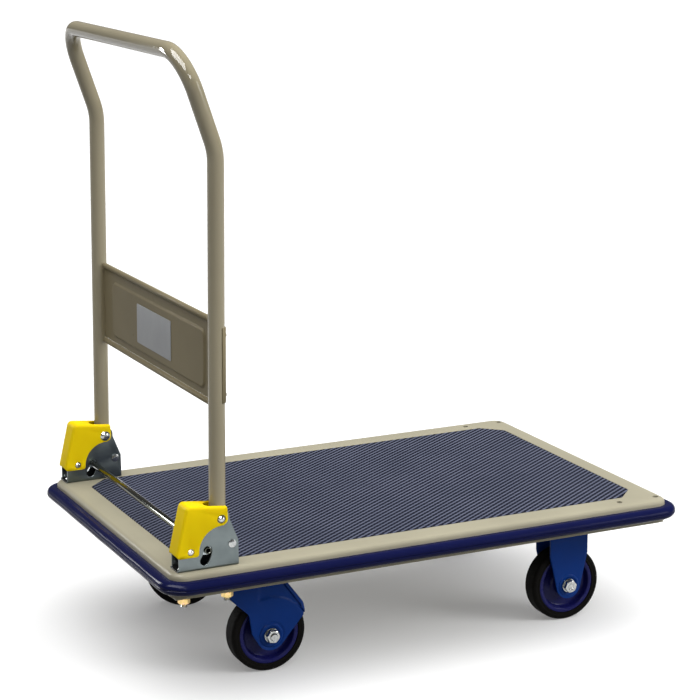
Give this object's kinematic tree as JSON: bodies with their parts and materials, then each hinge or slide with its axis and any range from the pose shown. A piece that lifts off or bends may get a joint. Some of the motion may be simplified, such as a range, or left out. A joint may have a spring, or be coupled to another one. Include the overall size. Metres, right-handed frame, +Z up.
{
  "type": "folding platform cart",
  "caption": "Flat platform cart with a fold-down tubular push handle, foot release bar, two swivel and two rigid casters.",
  "frame": {"origin": "on the floor, under the middle of the part's bounding box", "axes": "+X along the deck from the handle to the free end, +Y to the cart's left as seen by the person pushing it, +Z up"},
  "size_m": [0.9098, 0.6098, 0.9942],
  "materials": {
    "deck_paint": "gloss",
    "frame_paint": "satin",
    "handle_paint": "gloss",
    "fork_paint": "satin",
    "mat_vinyl": "ribbed",
    "bumper_vinyl": "gloss",
    "zinc": "zinc plated",
    "bright_steel": "polished",
    "yellow_zinc": "yellow chromate",
    "bar_chrome": "mirror",
    "cover_plastic": "satin",
    "bush_plastic": "plain",
    "black_plastic": "satin",
    "rim_plastic": "satin",
    "tyre_rubber": "matte",
    "plate_silver": "satin",
    "spring_steel": "satin"
  },
  "bodies": {
    "root": {"deck_pan": "deck_paint", "side_rails": "frame_paint", "caster_channels": "frame_paint", "platform_mat": "mat_vinyl", "bumper": "bumper_vinyl", "hinge_bracket_left": "zinc", "hinge_bracket_right": "zinc", "hinge_cover_left": "cover_plastic", "hinge_cover_right": "cover_plastic", "bracket_bolts": "bright_steel", "bracket_washers": "yellow_zinc", "bracket_nuts": "yellow_zinc", "stop_pins": "zinc", "pivot_pins": "bright_steel", "pivot_caps": "bright_steel", "latch_bolts": "bright_steel", "latch_caps": "bright_steel", "latch_springs": "spring_steel", "swivel_plates": "fork_paint", "king_pins": "bright_steel", "rigid_forks": "fork_paint", "front_axles": "bright_steel", "front_axle_nuts": "bright_steel", "plate_bolts": "yellow_zinc", "plate_nuts": "yellow_zinc"},
    "handle": {"handle_tube": "handle_paint", "pivot_bushes": "bush_plastic", "tube_plugs": "black_plastic", "handle_panel": "handle_paint", "panel_rivets": "handle_paint", "blank_plate": "plate_silver"},
    "foot_latch": {"latch_lever_left": "zinc", "latch_lever_right": "zinc", "foot_bar": "bar_chrome"},
    "swivel_left": {"swivel_fork_left": "fork_paint", "bearing_balls_left": "bright_steel", "rear_axle_left": "bright_steel", "rear_axle_nut_left": "bright_steel"},
    "swivel_right": {"swivel_fork_right": "fork_paint", "bearing_balls_right": "bright_steel", "rear_axle_right": "bright_steel", "rear_axle_nut_right": "bright_steel"},
    "wheel_rear_left": {"rear_rim_left": "rim_plastic", "rear_tyre_left": "tyre_rubber", "rear_bushes_left": "bush_plastic"},
    "wheel_rear_right": {"rear_rim_right": "rim_plastic", "rear_tyre_right": "tyre_rubber", "rear_bushes_right": "bush_plastic"},
    "wheel_front_left": {"front_rim_left": "rim_plastic", "front_tyre_left": "tyre_rubber", "front_bushes_left": "bush_plastic"},
    "wheel_front_right": {"front_rim_right": "rim_plastic", "front_tyre_right": "tyre_rubber", "front_bushes_right": "bush_plastic"}
  },
  "joints": [
    {"name": "handle_fold", "type": "hinge", "parent": "root", "child": "handle", "pos_m": [-0.356, 0, 0.2885], "axis": [0, 1, 0], "range_deg": [0, 95.6]},
    {"name": "latch_release", "type": "hinge", "parent": "root", "child": "foot_latch", "pos_m": [-0.406, 0, 0.2435], "axis": [0, 1, 0], "range_deg": [0, 33], "stiffness_Nm_per_rad": 0.6, "springref_deg": -34.38},
    {"name": "swivel_left_turn", "type": "hinge", "parent": "root", "child": "swivel_left", "pos_m": [-0.284, 0.182, 0.15], "axis": [0, 0, 1], "continuous": true},
    {"name": "swivel_right_turn", "type": "hinge", "parent": "root", "child": "swivel_right", "pos_m": [-0.284, -0.182, 0.15], "axis": [0, 0, 1], "continuous": true},
    {"name": "wheel_rear_left_spin", "type": "hinge", "parent": "swivel_left", "child": "wheel_rear_left", "pos_m": [-0.25566, 0.15822, 0.0625], "axis": [0.6428, 0.766, 0], "continuous": true},
    {"name": "wheel_rear_right_spin", "type": "hinge", "parent": "swivel_right", "child": "wheel_rear_right", "pos_m": [-0.247, -0.182, 0.0625], "axis": [0, 1, 0], "continuous": true},
    {"name": "wheel_front_left_spin", "type": "hinge", "parent": "root", "child": "wheel_front_left", "pos_m": [0.29, 0.188, 0.0625], "axis": [0, 1, 0], "continuous": true},
    {"name": "wheel_front_right_spin", "type": "hinge", "parent": "root", "child": "wheel_front_right", "pos_m": [0.29, -0.188, 0.0625], "axis": [0, 1, 0], "continuous": true}
  ]
}
